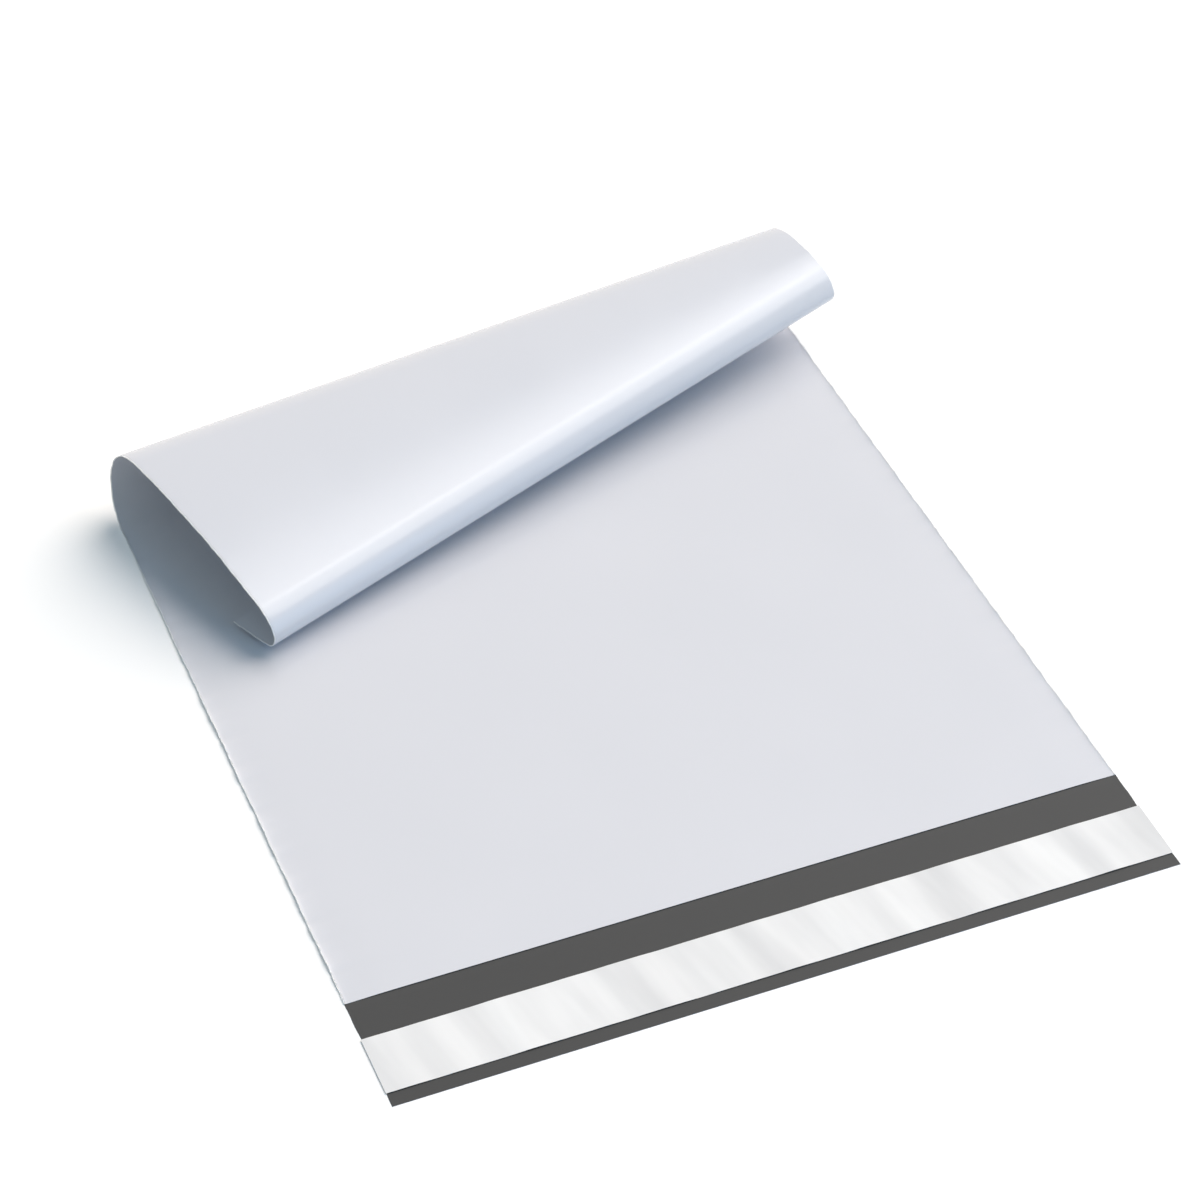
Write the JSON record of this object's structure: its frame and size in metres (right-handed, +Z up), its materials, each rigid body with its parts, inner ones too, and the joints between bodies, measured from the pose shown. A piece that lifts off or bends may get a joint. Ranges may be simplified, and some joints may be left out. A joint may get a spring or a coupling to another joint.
{
  "type": "poly mailer bag",
  "caption": "Flat white polyethylene mailer with a dark grey inside, an adhesive flap under a release liner, and its bottom end rolled up and over.",
  "frame": {"origin": "middle of the flat underside that the bag lies on", "axes": "+X across the bag to its right, +Y from the flap to the rolled bottom end, +Z up"},
  "size_m": [0.2947, 0.3512, 0.0318],
  "materials": {
    "white_film": "satin white outside, matte dark grey inside",
    "hot_melt": "tacky, half clear",
    "liner": "glossy siliconised"
  },
  "bodies": {
    "root": {"bag_film": "white_film", "adhesive_strip": "hot_melt", "release_liner": "liner"}
  },
  "joints": []
}
